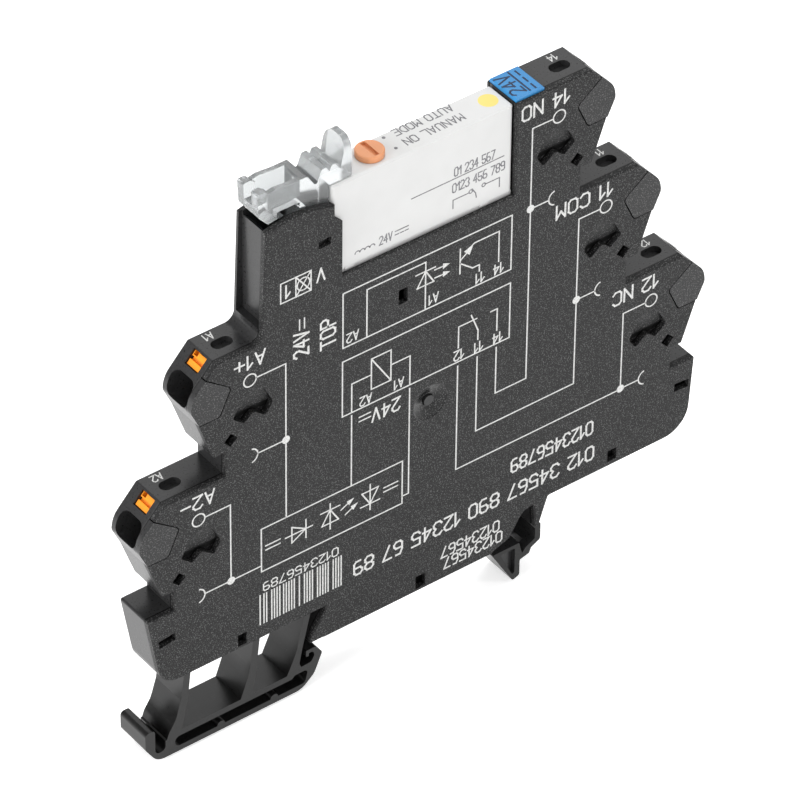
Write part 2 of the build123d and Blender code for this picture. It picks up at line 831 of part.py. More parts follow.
def make_rail_foot():
    half = foot_width / 2
    neck_z = belly_height - 0.25
    leg_shapes = [
        [(-36.9, neck_z), (-37.4, 1.0), (-38.3, -2.0, 4.0), (-39.3, -3.5, 1.5),
         (-39.9, -5.2), (-38.4, -5.2), (-37.3, -3.8, 0.6), (-36.3, 1.0), (-35.85, neck_z)],
        [(-26.1, neck_z), (-26.7, 0.0, 9.0), (-28.2, -4.2), (-26.0, -4.2),
         (-26.1, -3.3, 0.4), (-25.6, 0.0, 9.0), (-25.05, neck_z)],
        [(-18.1, neck_z), (-19.3, -0.6, 9.0), (-20.9, -4.2), (-18.2, -4.2),
         (-18.8, -2.8, 0.5), (-18.3, -0.2, 9.0), (-17.05, neck_z)],
    ]
    face = outline([
        (-43.0, -1.9, 0.6), (-43.0, -4.6, 1.0), (-41.2, foot_bottom, 2.2),
        (-18.4, foot_bottom, 2.6), (-16.4, -5.6, 2.0), (-15.15, -2.6, 0.5),
        (-16.1, -1.15, 0.4), (-17.75, -1.15, 0.1), (-17.75, -2.2, 0.15),
        (-17.3, -2.2, 0.1), (-17.3, -1.75, 0.1), (-16.6, -1.75, 0.3), (-16.4, -2.5, 0.5),
        (-16.9, -3.4, 0.5), (-18.8, -3.5, 0.6), (-20.5, -4.2), (-20.5, -3.9), (-38.0, -3.9),
        (-39.9, -4.6), (-39.9, -6.1, 0.7), (-41.5, -6.1, 0.7), (-41.5, -1.9, 0.5),
    ])
    for corners in leg_shapes:
        face += outline(corners)
    slit = outline([
        (-38.4, -4.85, 0.7), (-20.0, -4.85, 0.4), (-19.5, -4.4, 0.4), (-17.4, -4.4, 0.5),
        (-17.9, -6.5, 0.6), (-38.4, -6.5, 0.8),
    ])
    face -= slit
    for x in (-31.2, -22.8):
        face += Pos(x, -6.5) * Circle(0.6)
    foot = slab(face, -half, half)
    neck_half = foot_neck / 2
    for x in (-36.4, -25.6, -17.95):
        foot += block(x - 0.45, x + 0.45, -neck_half, neck_half, neck_z - 0.3,
                      foot_bar_z + 0.2)
    bar_half = inner_back - 0.45
    foot += block(foot_bar_left, foot_bar_right, -bar_half, bar_half,
                  foot_bar_z + foot_clearance, foot_bar_z + foot_bar_height)
    return foot


# Parts of each terminal

def make_release_button():
    """Button with a grooved head and a collar that keeps it in its guide."""
    stem = Rectangle(button_along, button_across)
    button = extrude(button_plane(-button_sunk) * stem, amount=-button_length)
    collar = Rectangle(button_along, button_across + 2 * button_collar)
    collar_top = -(guide_depth + 0.06)
    button += extrude(button_plane(collar_top) * collar, amount=-0.8)
    head = button_plane(-button_sunk)
    slot = extrude(head * Rectangle(0.5, button_across + 1), amount=-0.45)
    notch = extrude(head * Pos(-button_along / 2 + 0.2, button_across / 2 - 0.45)
                    * Rectangle(0.8, 0.7), amount=-0.7)
    button -= slot
    button -= notch
    return button


def make_clamp_spring():
    """Bent strip whose free leg presses the wire on the current bar."""
    points = [(1.7, -4.7), (2.75, -0.55), (1.55, 1.35), (-0.9, 1.35), (-2.7, -4.0),
              (-2.2, -6.4)]
    return strip(points, [0.9, 0.9, 0.9, 1.2], spring_thickness, spring_width, 0.35)


def make_current_bar(name):
    """Bar under the wire, bent to its relay contact or to the circuit board."""
    side, _ = terminals[name]
    x0, z0 = terminal_origin(name)
    grip = [(3.9, -4.13), (0.9, -5.86), (-0.6, -6.6), (-3.2, -6.9)]
    points = [(x0 + side * p, z0 + q) for p, q in grip]
    if side < 0:
        points += [(board_left - 0.1, points[-1][1])]
    else:
        pin_x = contact_pin_positions[("12", "11", "14").index(name)]
        contact_x = pin_x + pin_thickness / 2 + 0.05 + bar_thickness / 2
        low = {"12": 20.8, "11": 39.6, "14": 51.6}[name]
        points += [(points[-1][0] - (points[-1][1] - low) * 0.35, low), (contact_x, low),
                   (contact_x, socket_z - socket_floor - 0.3)]
    return strip(points, [0.8] * (len(points) - 2), bar_thickness, bar_width, 0.35)


def make_coil_socket(x):
    """Contact strip from the circuit board up beside a coil pin."""
    contact_x = x + pin_thickness / 2 + 0.05 + spring_thickness / 2
    return strip([(contact_x, board_top + 0.1), (contact_x + 0.6, board_top + 3.0),
                  (contact_x, socket_z - 3.2), (contact_x + 0.3, socket_z - socket_floor - 0.3)],
                 [1.5, 0.6], spring_thickness, bar_width, 0.35)


def make_circuit_board():
    y_from = inner_back - board_thickness - 0.3
    board = block(board_left, board_right, y_from, y_from + board_thickness,
                  board_bottom, board_top)
    for x, z in ((board_left + 2, board_bottom + 2), (board_right - 2, board_bottom + 2)):
        board -= pin_along_y(x, z, 0.6, y_from - 1, y_from + 2)
    return board


def make_board_parts():
    """Small parts soldered on the front of the circuit board."""
    seat = inner_back - board_thickness - 0.35
    rectifier = chamfer(block(-19.6, -15.2, seat - 1.7, seat, 17.9, 21.9).edges(), 0.2)
    diode = Pos(-9.0, seat - 0.75, 19.9) * Rot(0, 90, 0) * Cylinder(0.75, 3.6)
    resistor = chamfer(block(-12.6, -9.4, seat - 0.6, seat, 29.0, 30.6).edges(), 0.1)
    led = block(-9.2, -7.4, seat - 0.7, seat, 38.6, 40.4)
    led += Pos(-8.3, seat - 0.7, 39.5) * Sphere(0.7)
    return {"rectifier": rectifier, "suppressor_diode": diode, "series_resistor": resistor,
            "status_led": led}


def marker_peg(growth):
    """Peg under the marker tag, or its hole."""
    middle = marker_left + marker_length / 2
    return block(middle - 0.8 - growth, middle + 0.8 + growth, -0.9 - growth, 0.9 + growth,
                 top_z("14") - 1.5, top_z("14"))


def marker_seat(growth):
    """The marker tag, or its seat with some growth all round."""
    half = body_width / 2 - 0.4
    plate = block(marker_left - growth, marker_left + marker_length + growth, -half - growth,
                  half + growth, top_z("14") - marker_sunk, top_z("14") + marker_thickness)
    return plate + marker_peg(growth)


def make_marker_tag():
    tag = marker_seat(0)
    top_edges = tag.faces().sort_by(Axis.Z)[-1].edges()
    return chamfer(top_edges, 0.15)


nodes = {
    "housing": make_housing(),
    "side_cover": make_side_cover(),
    "rail_foot": make_rail_foot(),
    "retaining_lever": make_retaining_lever(),
    "relay_case": make_relay_case(),
    "relay_base": make_relay_base(),
    "relay_bobbin": make_bobbin(),
    "relay_winding": make_winding(),
    "relay_yoke": make_yoke(),
    "relay_armature": make_armature(),
    "manual_knob": make_manual_knob(),
    "marker_tag": make_marker_tag(),
    "circuit_board": make_circuit_board(),
}
nodes.update(make_coil_pins())
nodes.update(make_contacts())
nodes.update(make_board_parts())
for coil_end, pin_x in zip(("a1", "a2"), coil_pin_positions):
    nodes[f"coil_socket_{coil_end}"] = make_coil_socket(pin_x)
for terminal in terminals:
    nodes[f"release_button_{terminal}"] = at_terminal(terminal, make_release_button())
    nodes[f"clamp_spring_{terminal}"] = at_terminal(terminal, make_clamp_spring())
    nodes[f"current_bar_{terminal}"] = make_current_bar(terminal)

for node, shape in nodes.items():
    export_step(shape, f"parts/{node}.step")
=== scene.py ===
import math
import random

import bmesh
import bpy
from mathutils import Matrix, Vector


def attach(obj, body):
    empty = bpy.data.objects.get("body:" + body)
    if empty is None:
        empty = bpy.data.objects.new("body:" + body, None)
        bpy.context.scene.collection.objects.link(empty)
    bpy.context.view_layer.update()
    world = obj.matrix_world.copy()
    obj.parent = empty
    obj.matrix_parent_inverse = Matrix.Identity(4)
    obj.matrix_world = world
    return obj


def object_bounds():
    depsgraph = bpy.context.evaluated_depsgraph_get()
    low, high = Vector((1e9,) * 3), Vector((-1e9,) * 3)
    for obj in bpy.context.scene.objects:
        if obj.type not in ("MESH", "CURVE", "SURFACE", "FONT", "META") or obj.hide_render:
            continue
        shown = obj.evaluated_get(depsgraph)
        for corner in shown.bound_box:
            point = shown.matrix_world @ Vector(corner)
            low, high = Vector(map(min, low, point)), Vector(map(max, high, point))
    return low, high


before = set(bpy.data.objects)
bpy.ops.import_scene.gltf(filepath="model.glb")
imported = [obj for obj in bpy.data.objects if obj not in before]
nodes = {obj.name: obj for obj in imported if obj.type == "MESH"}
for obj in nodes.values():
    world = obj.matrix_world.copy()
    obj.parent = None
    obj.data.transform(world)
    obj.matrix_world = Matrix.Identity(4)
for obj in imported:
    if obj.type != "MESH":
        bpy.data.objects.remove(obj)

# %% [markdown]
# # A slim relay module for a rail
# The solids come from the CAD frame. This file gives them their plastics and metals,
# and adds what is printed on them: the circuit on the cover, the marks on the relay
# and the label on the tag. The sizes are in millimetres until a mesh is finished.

MM = 0.001
cad_low, cad_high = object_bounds()
print("nodes", len(nodes), "box in mm", [round(v / MM, 1) for v in cad_high - cad_low])

# %% [markdown]
# ## Shader maths
# A finish is a sum of small effects: a base colour, a grain, a few marks. Written as
# node links that is hard to read, so one class wraps a socket and turns Python's
# operators into Math nodes. Any other node comes from its method called add.


# %% A value in a material's node tree
class Value:
    """One output of a node; arithmetic on it adds Math nodes."""

    def __init__(self, tree, socket=None):
        self.tree = tree
        self.socket = socket

    def add(self, kind, settings=None, sockets=None, output=0):
        """Adds a node, sets its settings, then its sockets, and gives one output."""
        node = self.tree.nodes.new(kind)
        for name, setting in (settings or {}).items():
            if name == "stops":
                while len(node.color_ramp.elements) < len(setting):
                    node.color_ramp.elements.new(0.5)
                for element, (place, shade) in zip(node.color_ramp.elements, setting):
                    element.position = place
                    element.color = shade
            else:
                setattr(node, name, setting)
        for name, value in (sockets or {}).items():
            if isinstance(value, Value):
                self.tree.links.new(value.socket, node.inputs[name])
            else:
                node.inputs[name].default_value = value
        return Value(self.tree, node.outputs[output])

    def maths(self, operation, first, second=0.0):
        return self.add("ShaderNodeMath", {"operation": operation}, {0: first, 1: second})

    def __add__(self, other):
        return self.maths("ADD", self, other)

    def __radd__(self, other):
        return self.maths("ADD", other, self)

    def __sub__(self, other):
        return self.maths("SUBTRACT", self, other)

    def __rsub__(self, other):
        return self.maths("SUBTRACT", other, self)

    def __mul__(self, other):
        return self.maths("MULTIPLY", self, other)

    def __rmul__(self, other):
        return self.maths("MULTIPLY", other, self)

    def __abs__(self):
        return self.maths("ABSOLUTE", self)

    def above(self, edge, softness):
        """0 below the edge, 1 above it, with a soft step."""
        return self.add("ShaderNodeMapRange", {"interpolation_type": "SMOOTHSTEP"},
                        {"Value": self, "From Min": edge - softness,
                         "From Max": edge + softness})

    def blend(self, dark, light):
        """A colour from dark to light as this value goes from 0 to 1."""
        ends = [end if isinstance(end, Value) else (*end, 1) for end in (dark, light)]
        return self.add("ShaderNodeMix", {"data_type": "RGBA"},
                        {0: self, 6: ends[0], 7: ends[1]}, output=2)


def finish_named(name):
    """A new material: its start value, its Object coordinates and its shader node."""
    material = bpy.data.materials.new(name)
    material.use_nodes = True
    tree = material.node_tree
    shader = next(n for n in tree.nodes if n.type == "BSDF_PRINCIPLED")
    start = Value(tree)
    return material, start, start.add("ShaderNodeTexCoord", output=3), shader


def noise(start, place, size_mm, detail=2.0, roughness=0.5):
    """Noise whose patches are about size_mm across."""
    return start.add("ShaderNodeTexNoise", {"noise_dimensions": "3D"},
                     {"Vector": place, "Scale": 1 / (size_mm * MM), "Detail": detail,
                      "Roughness": roughness})


def axis_of(start, place, axis):
    """One coordinate of a place, in millimetres."""
    metres = start.add("ShaderNodeSeparateXYZ", None, {0: place}, output="XYZ".index(axis))
    return metres * (1 / MM)


def link(value, shader, name):
    value.tree.links.new(value.socket, shader.inputs[name])


def bump(start, height, strength, distance_mm, shader):
    """Lets a height pattern tilt the surface."""
    tilted = start.add("ShaderNodeBump", None,
                       {"Strength": strength, "Distance": distance_mm * MM, "Height": height})
    link(tilted, shader, "Normal")


# %% [markdown]
# ## Moulded black plastics
# The printed cover is spark-eroded: a fine matt grain with tiny lighter specks. The
# housing and the foot come from smoother tools, so they shine a little more. One
# function makes them all from a grain size, a speck share and a gloss. The housing's
# faces that lie level with the cover are eroded like it, and the cover's dish is polished.


# %% Black plastics
COVER_MEAN = (0.009, 0.009, 0.0095)
SPECK = (0.10, 0.10, 0.10)
# Painted shade: the colour of the groove between cover and housing
SEAM_PAINTED_SHADE = (0.001, 0.001, 0.001)
SEAM_Y = -2.2
ERODED_Y = -3.06
DISH = (1.5, 31.3, 2.7)


def moulded(name, dark, light, grain_mm, rough, specks, bump_strength, seam=None,
            shine=0.35, eroded_up_to=None, polished=None):
    """Moulded plastic with grain, and painted shade along the parting line at Y of seam, if
    given.

    Specks stop behind Y of eroded_up_to. A polished spot is x, z and radius in mm.
    """
    material, start, place, shader = finish_named(name)
    grain = noise(start, place, grain_mm, 3.0, 0.65)
    cloud = noise(start, place, 9.0, 2.0)
    tone = grain.above(0.5, 0.22) * 0.55 + cloud * 0.45
    colour = tone.blend(dark, light)
    if specks:
        sprinkled = noise(start, place, grain_mm * 0.55, 1.0).above(specks, 0.03) * 0.85
        if eroded_up_to is not None:
            behind = axis_of(start, place, "Y").above(eroded_up_to, 0.02)
            colour = behind.blend(COVER_MEAN, colour)
            sprinkled = sprinkled * (1 - behind)
        colour = sprinkled.blend(colour, SPECK)
    height = grain
    if seam is not None:
        # Painted shade: the plastic is darkened in a thin band along the groove at the seam
        off_seam = abs(axis_of(start, place, "Y") - seam).above(0.09, 0.03)
        colour = off_seam.blend(SEAM_PAINTED_SHADE, colour)
        height = grain * 0.5 + off_seam * 6.0
    link(colour, shader, "Base Color")
    gloss = rough + grain * 0.12 - 0.06
    if polished is not None:
        x, z, radius = polished
        aside = axis_of(start, place, "X") - x
        above = axis_of(start, place, "Z") - z
        squares = aside * aside + above * above
        outside = squares.maths("SQRT", squares).above(radius, 0.1)
        gloss = gloss * (outside * 0.75 + 0.25)
        height = height * outside
    link(gloss, shader, "Roughness")
    bump(start, height, bump_strength, 0.02, shader)
    shader.inputs["Specular IOR Level"].default_value = shine
    return material


cover_plastic = moulded("cover_grain", (0.004, 0.004, 0.004), (0.015, 0.015, 0.0155),
                        grain_mm=0.30, rough=0.52, specks=0.61, bump_strength=0.45,
                        seam=SEAM_Y, shine=0.22, polished=DISH)
housing_plastic = moulded("housing_satin", (0.014, 0.014, 0.014), (0.030, 0.030, 0.031),
                          grain_mm=0.35, rough=0.29, specks=0.61, bump_strength=0.30,
                          seam=SEAM_Y, shine=0.30, eroded_up_to=ERODED_Y)
foot_plastic = moulded("foot_satin", (0.003, 0.003, 0.003), (0.007, 0.007, 0.007),
                       grain_mm=0.60, rough=0.30, specks=None, bump_strength=0.08)
chip_plastic = moulded("chip_black", (0.010, 0.010, 0.010), (0.03, 0.03, 0.03),
                       grain_mm=0.15, rough=0.5, specks=None, bump_strength=0.2)
print("black plastics ready")

# %% [markdown]
# ## Coloured plastics
# The relay, the buttons, the knob and the tag are small mouldings in bright plastic.
# Their colour is nearly even; a slow cloud and a very fine grain keep them from looking
# painted by a computer.


# %% Coloured plastics
def coloured(name, dark, light, rough, coat=0.0, grain_mm=0.12):
    material, start, place, shader = finish_named(name)
    cloud = noise(start, place, 4.0, 2.0)
    grain = noise(start, place, grain_mm, 2.0)
    link(cloud.blend(dark, light), shader, "Base Color")
    link(rough + grain * 0.1 - 0.05, shader, "Roughness")
    bump(start, grain, 0.12, 0.01, shader)
    shader.inputs["Coat Weight"].default_value = coat
    return material


relay_plastic = coloured("relay_white", (0.58, 0.58, 0.575), (0.64, 0.64, 0.635), 0.42)
bobbin_plastic = coloured("bobbin_nylon", (0.62, 0.58, 0.48), (0.72, 0.69, 0.58), 0.5)
knob_plastic = coloured("knob_orange", (0.64, 0.25, 0.11), (0.72, 0.31, 0.14), 0.38)
button_plastic = coloured("button_orange", (0.80, 0.24, 0.008), (0.88, 0.30, 0.010), 0.34)
tag_plastic = coloured("tag_blue", (0.015, 0.17, 0.42), (0.03, 0.24, 0.53), 0.40)
board_lacquer = coloured("board_green", (0.01, 0.12, 0.05), (0.03, 0.20, 0.09), 0.3,
                         coat=0.3, grain_mm=0.5)
led_plastic = coloured("led_clear", (0.55, 0.72, 0.45), (0.70, 0.85, 0.60), 0.15, coat=0.6)
dot_paint = coloured("dot_yellow", (0.74, 0.58, 0.14), (0.80, 0.66, 0.20), 0.5)
print("coloured plastics ready")

# %% [markdown]
# ## Clear plastic
# The retaining lever is polycarbonate from a slightly frosted tool. It lets light
# through, but its many small faces scatter it, so it looks milky with bright edges.

# %% Clear lever
clear_plastic, start, place, shader = finish_named("lever_clear")
frost = noise(start, place, 0.5, 3.0)
cloud = noise(start, place, 3.0)
link(cloud.blend((0.60, 0.62, 0.63), (0.74, 0.76, 0.76)), shader, "Base Color")
link(0.12 + frost * 0.16, shader, "Roughness")
bump(start, frost, 0.2, 0.02, shader)
shader.inputs["Transmission Weight"].default_value = 0.85
shader.inputs["IOR"].default_value = 1.45
print("clear plastic ready")

# %% [markdown]
# ## Metals
# Springs and current bars are rolled strip. Rolling leaves fine lines along the strip,
# so a Mapping node stretches the noise. The winding is enamelled wire: a sine
# along the coil gives its turns as bumps, and paints shade between the turns and a highlight
# on each crest.


# %% Metals and winding
ALONG_Y = (1, 0.15, 1)
WIRE_PITCH = 0.12


def rolled(name, dark, light, rough, stretch=(1, 1, 1)):
    material, start, place, shader = finish_named(name)
    lines = start.add("ShaderNodeMapping", None, {"Vector": place, "Scale": stretch})
    grain = noise(start, lines, 0.25, 3.0)
    link(grain.blend(dark, light), shader, "Base Color")
    link(rough + grain * 0.2 - 0.1, shader, "Roughness")
    bump(start, grain, 0.15, 0.01, shader)
    shader.inputs["Metallic"].default_value = 1.0
    return material


tinned_metal = rolled("tinned_copper", (0.58, 0.57, 0.54), (0.78, 0.77, 0.74), 0.34, ALONG_Y)
spring_metal = rolled("spring_steel", (0.42, 0.42, 0.43), (0.62, 0.62, 0.62), 0.28, ALONG_Y)
iron_metal = rolled("relay_iron", (0.32, 0.32, 0.33), (0.45, 0.45, 0.46), 0.4)
winding_wire, start, place, shader = finish_named("winding_wire")
turns = start.maths("SINE", axis_of(start, place, "X") * (2 * math.pi / WIRE_PITCH))
# Painted shade and highlight: the wire's colour is dark in the grooves between turns and light
# on their crests
link((turns * 0.5 + 0.5).blend((0.20, 0.05, 0.02), (0.62, 0.25, 0.10)), shader, "Base Color")
bump(start, turns, 0.6, 0.03, shader)
shader.inputs["Metallic"].default_value = 0.8
shader.inputs["Roughness"].default_value = 0.3
print("metals ready")

# %% [markdown]
# ## Which node gets which finish
# Each CAD node has one material slot. The names say what a node is, so a short table of
# name beginnings is enough.

# %% Dress the CAD nodes
finishes = {
    "housing": housing_plastic, "side_cover": cover_plastic, "rail_foot": foot_plastic,
    "retaining_lever": clear_plastic, "relay_case": relay_plastic,
    "relay_base": relay_plastic, "relay_bobbin": bobbin_plastic,
    "relay_winding": winding_wire, "relay_yoke": iron_metal, "relay_armature": iron_metal,
    "relay_pin": tinned_metal, "relay_contact": tinned_metal, "manual_knob": knob_plastic,
    "marker_tag": tag_plastic, "circuit_board": board_lacquer, "rectifier": chip_plastic,
    "suppressor_diode": chip_plastic, "series_resistor": chip_plastic,
    "status_led": led_plastic, "coil_socket": tinned_metal, "release_button": button_plastic,
    "clamp_spring": spring_metal, "current_bar": tinned_metal,
}
for name, piece in nodes.items():
    beginning = max((b for b in finishes if name.startswith(b)), key=len)
    piece.data.materials.clear()
    piece.data.materials.append(finishes[beginning])
print("dressed", len(nodes), "nodes with", len(set(finishes.values())), "finishes")

# %% [markdown]
# ## Printed lines
# The cover carries the module's circuit, printed in thin lines. A printed line follows
# a path, so Geometry Nodes make it: edges become curves, and a flat rectangle runs
# along them. The film of ink is two hundredths of a millimetre thick and mostly sunk
# in, so it hardly changes the part's size. Runs that cross lie a micrometre
# apart in height, because faces in exactly the same plane would shade each other.

# %% The tree that turns edges into ink
INK_ABOVE = 0.004
INK_BELOW = 0.016
LIFT_STEP = 0.001
LIFTS = 5


def ink_tree(ink):
    tree = bpy.data.node_groups.new("ink_lines", "GeometryNodeTree")
    tree.interface.new_socket("Geometry", in_out="INPUT", socket_type="NodeSocketGeometry")
    for name in ("Line width", "Film height"):
        tree.interface.new_socket(name, in_out="INPUT", socket_type="NodeSocketFloat")
    tree.interface.new_socket("Geometry", in_out="OUTPUT", socket_type="NodeSocketGeometry")
    made = {}
    for name in ("NodeGroupInput", "GeometryNodeMeshToCurve", "GeometryNodeSetCurveNormal",
                 "GeometryNodeCurvePrimitiveQuadrilateral", "GeometryNodeCurveToMesh",
                 "GeometryNodeRealizeInstances", "GeometryNodeSetMaterial",
                 "NodeGroupOutput"):
        made[name.replace("GeometryNode", "")] = tree.nodes.new(name)
    made["SetCurveNormal"].mode = "Z_UP"
    made["CurveToMesh"].inputs["Fill Caps"].default_value = True
    made["SetMaterial"].inputs["Material"].default_value = ink
    wires = [
        ("NodeGroupInput", "Geometry", "MeshToCurve", "Mesh"),
        ("MeshToCurve", "Curve", "SetCurveNormal", "Curve"),
        ("SetCurveNormal", "Curve", "CurveToMesh", "Curve"),
        ("NodeGroupInput", "Line width", "CurvePrimitiveQuadrilateral", "Width"),
        ("NodeGroupInput", "Film height", "CurvePrimitiveQuadrilateral", "Height"),
        ("CurvePrimitiveQuadrilateral", "Curve", "CurveToMesh", "Profile Curve"),
        ("CurveToMesh", "Mesh", "RealizeInstances", "Geometry"),
        ("RealizeInstances", "Geometry", "SetMaterial", "Geometry"),
        ("SetMaterial", "Geometry", "NodeGroupOutput", "Geometry"),
    ]
    for giver, out, taker, into in wires:
        tree.links.new(made[giver].outputs[out], made[taker].inputs[into])
    return tree


def evaluated_mesh(thing):
    """A plain mesh of an object as its modifiers leave it."""
    bpy.context.view_layer.update()
    graph = bpy.context.evaluated_depsgraph_get()
    return bpy.data.meshes.new_from_object(thing.evaluated_get(graph))


def ink_mesh(runs, loops, width, ink):
    """Flat ink along straight runs and closed or open loops, drawn in X-Y, in mm.

    Each stretch of a run reaches half a width past its ends, so corners are filled.
    """
    points, edges = [], []
    for run in runs:
        for (x0, z0), (x1, z1) in zip(run, run[1:]):
            lift = len(edges) % LIFTS * LIFT_STEP
            reach = math.hypot(x1 - x0, z1 - z0)
            dx, dz = (x1 - x0) / reach * width / 2, (z1 - z0) / reach * width / 2
            edges.append((len(points), len(points) + 1))
            points += [(x0 - dx, z0 - dz, lift), (x1 + dx, z1 + dz, lift)]
    for curve, closed in loops:
        first = len(points)
        points += [(x, z, 0) for x, z in curve]
        edges += [(first + i, first + i + 1) for i in range(len(curve) - 1)]
        if closed:
            edges.append((first + len(curve) - 1, first))
    drawn = bpy.data.meshes.new("ink_path")
    drawn.from_pydata(points, edges, [])
    holder = bpy.data.objects.new("ink_path", drawn)
    bpy.context.scene.collection.objects.link(holder)
    modifier = holder.modifiers.new("ink", "NODES")
    modifier.node_group = ink_tree(ink)
    sizes = {"Line width": width, "Film height": INK_ABOVE + INK_BELOW}
    for item in modifier.node_group.interface.items_tree:
        if item.in_out == "INPUT" and item.name in sizes:
            modifier[item.identifier] = sizes[item.name]
    mesh = evaluated_mesh(holder)
    holder.modifiers.remove(modifier)
    bpy.data.objects.remove(holder)
    mesh.transform(Matrix.Translation((0, 0, (INK_ABOVE - INK_BELOW) / 2)))
    return mesh


def circle(x, z, radius, start=0, end=360):
    """Points on a circle, or on an arc with both its ends, in degrees."""
    whole = end - start == 360
    count = 28 if whole else 16
    last = count if whole else count - 1
    turn = [math.radians(start + (end - start) * i / last) for i in range(count)]
    return [(x + radius * math.cos(a), z + radius * math.sin(a)) for a in turn]


# %% [markdown]
# ## Printed words and dots
# Marking lasers and plotters write with single strokes, so each letter here is a few
# strokes on a grid of 4 by 6, made into ink by the same tree as the wires. Dots are
# short discs. All the ink of one surface becomes one piece.

# %% Stroke letters, dots and placing
STROKES = {
    "0": ["01 05 16 36 45 41 30 10 01"], "1": ["04 26 20"],
    "2": ["05 16 36 45 44 00 40"], "3": ["05 16 36 45 44 33 42 41 30 10 01"],
    "4": ["30 36 02 42"], "5": ["46 06 03 33 42 41 30 10 01"],
    "6": ["36 16 04 01 10 30 41 42 33 03"], "7": ["06 46 10"],
    "8": ["13 04 05 16 36 45 44 33 13 02 01 10 30 41 42 33"],
    "9": ["43 13 04 05 16 36 45 41 30 10"],
    "A": ["00 26 40", "12 32"], "C": ["45 36 16 05 01 10 30 41"],
    "D": ["00 06 26 44 42 20 00"], "E": ["46 06 00 40", "03 33"],
    "L": ["06 00 40"], "M": ["00 06 23 46 40"], "N": ["00 06 40 46"],
    "O": ["01 05 16 36 45 41 30 10 01"], "P": ["00 06 36 45 44 33 03"],
    "T": ["06 46", "26 20"], "U": ["06 01 10 30 41 46"], "V": ["06 20 46"],
    "+": ["03 43", "25 21"], "-": ["03 43"], " ": ["20"],
}
LETTER_GAP = 1.5
INK_SHARE = 0.14


def word_mesh(text, height, x, z, turn, ink, squeeze=0.85):
    """A word whose middle is at x, z, in mm, with capitals of that height.

    Squeeze makes the letters narrower than the square grid.
    """
    step = height / 6
    widths = [max(int(pair[0]) for stroke in STROKES[letter] for pair in stroke.split())
              for letter in text]
    length = sum(widths) + LETTER_GAP * (len(text) - 1)
    swing = Matrix.Translation((x, z, 0)) @ Matrix.Rotation(math.radians(turn), 4, "Z")
    runs, cursor = [], -length / 2
    for letter, width in zip(text, widths):
        for stroke in STROKES[letter]:
            grid = [(int(pair[0]), int(pair[1])) for pair in stroke.split()]
            placed = [swing @ Vector(((gx + cursor) * step * squeeze, (gy - 3) * step, 0))
                      for gx, gy in grid]
            runs.append([(p.x, p.y) for p in placed])
        cursor += width + LETTER_GAP
    return ink_mesh(runs, [], height * INK_SHARE, ink)


def filled_mesh(corners, lift=7 * LIFT_STEP):
    """A flat filled shape, a little prouder than the lines that meet in it."""
    count = len(corners)
    points = [(x, z, level) for level in (-INK_BELOW, INK_ABOVE + lift) for x, z in corners]
    faces = [(i, (i + 1) % count, count + (i + 1) % count, count + i) for i in range(count)]
    faces += [tuple(reversed(range(count))), tuple(range(count, 2 * count))]
    mesh = bpy.data.meshes.new("filled")
    mesh.from_pydata(points, [], faces)
    return mesh


def dot_mesh(x, z, radius):
    return filled_mesh(circle(x, z, radius)[:-1])


def arrow(x0, z0, x1, z1, head=1.1):
    """An arrow's shaft, as a run, and its filled head."""
    reach = math.hypot(x1 - x0, z1 - z0)
    ux, uz = (x1 - x0) / reach, (z1 - z0) / reach
    neck = (x1 - ux * head, z1 - uz * head)
    side = head * 0.4
    corners = [(x1, z1), (neck[0] - uz * side, neck[1] + ux * side),
               (neck[0] + uz * side, neck[1] - ux * side)]
    return [(x0, z0), neck], filled_mesh(corners)


def printed(name, meshes, ink, placing, body):
    """Joins ink meshes to one piece and lays it on its surface."""
    work = bmesh.new()
    for mesh in meshes:
        work.from_mesh(mesh)
    bmesh.ops.remove_doubles(work, verts=work.verts, dist=0.0005)
    bmesh.ops.recalc_face_normals(work, faces=work.faces)
    joined = bpy.data.meshes.new(name)
    work.to_mesh(joined)
    work.free()
    joined.transform(Matrix.Scale(MM, 4) @ placing)
    joined.materials.clear()
    joined.materials.append(ink)
    for face in joined.polygons:
        face.material_index = 0
    piece = bpy.data.objects.new(name, joined)
    bpy.context.scene.collection.objects.link(piece)
    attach(piece, body)
    print(name, "triangles about", 2 * len(joined.polygons))
    return piece


def on_front(y):
    """Lays a flat drawing on a face that looks along -Y."""
    return Matrix.Translation((0, y, 0)) @ Matrix.Rotation(math.radians(90), 4, "X")


def on_top(z):
    """Lays a flat drawing on a face that looks up."""
    return Matrix.Translation((0, 0, z))


def printing_ink(name, dark, light):
    """Thin ink: worn a little, so its colour breaks up at the scale of the grain."""
    material, start, place, shader = finish_named(name)
    worn = noise(start, place, 0.22, 2.0).above(0.42, 0.14)
    link(worn.blend(dark, light), shader, "Base Color")
    shader.inputs["Roughness"].default_value = 0.6
    return material


light_ink = printing_ink("ink_light", (0.42, 0.42, 0.41), (0.66, 0.66, 0.65))
grey_ink = printing_ink("ink_grey", (0.26, 0.26, 0.27), (0.15, 0.15, 0.16))
tag_ink = printing_ink("ink_tag", (0.012, 0.025, 0.06), (0.02, 0.04, 0.09))

# %% [markdown]
# ## The circuit on the cover
# The drawing shows how the terminals reach the relay: two coil leads on the left, and
# the common, closing and opening contacts on the right. Wires are straight runs,
# terminals are rings, branches are filled dots, and bridge sockets are open arcs.

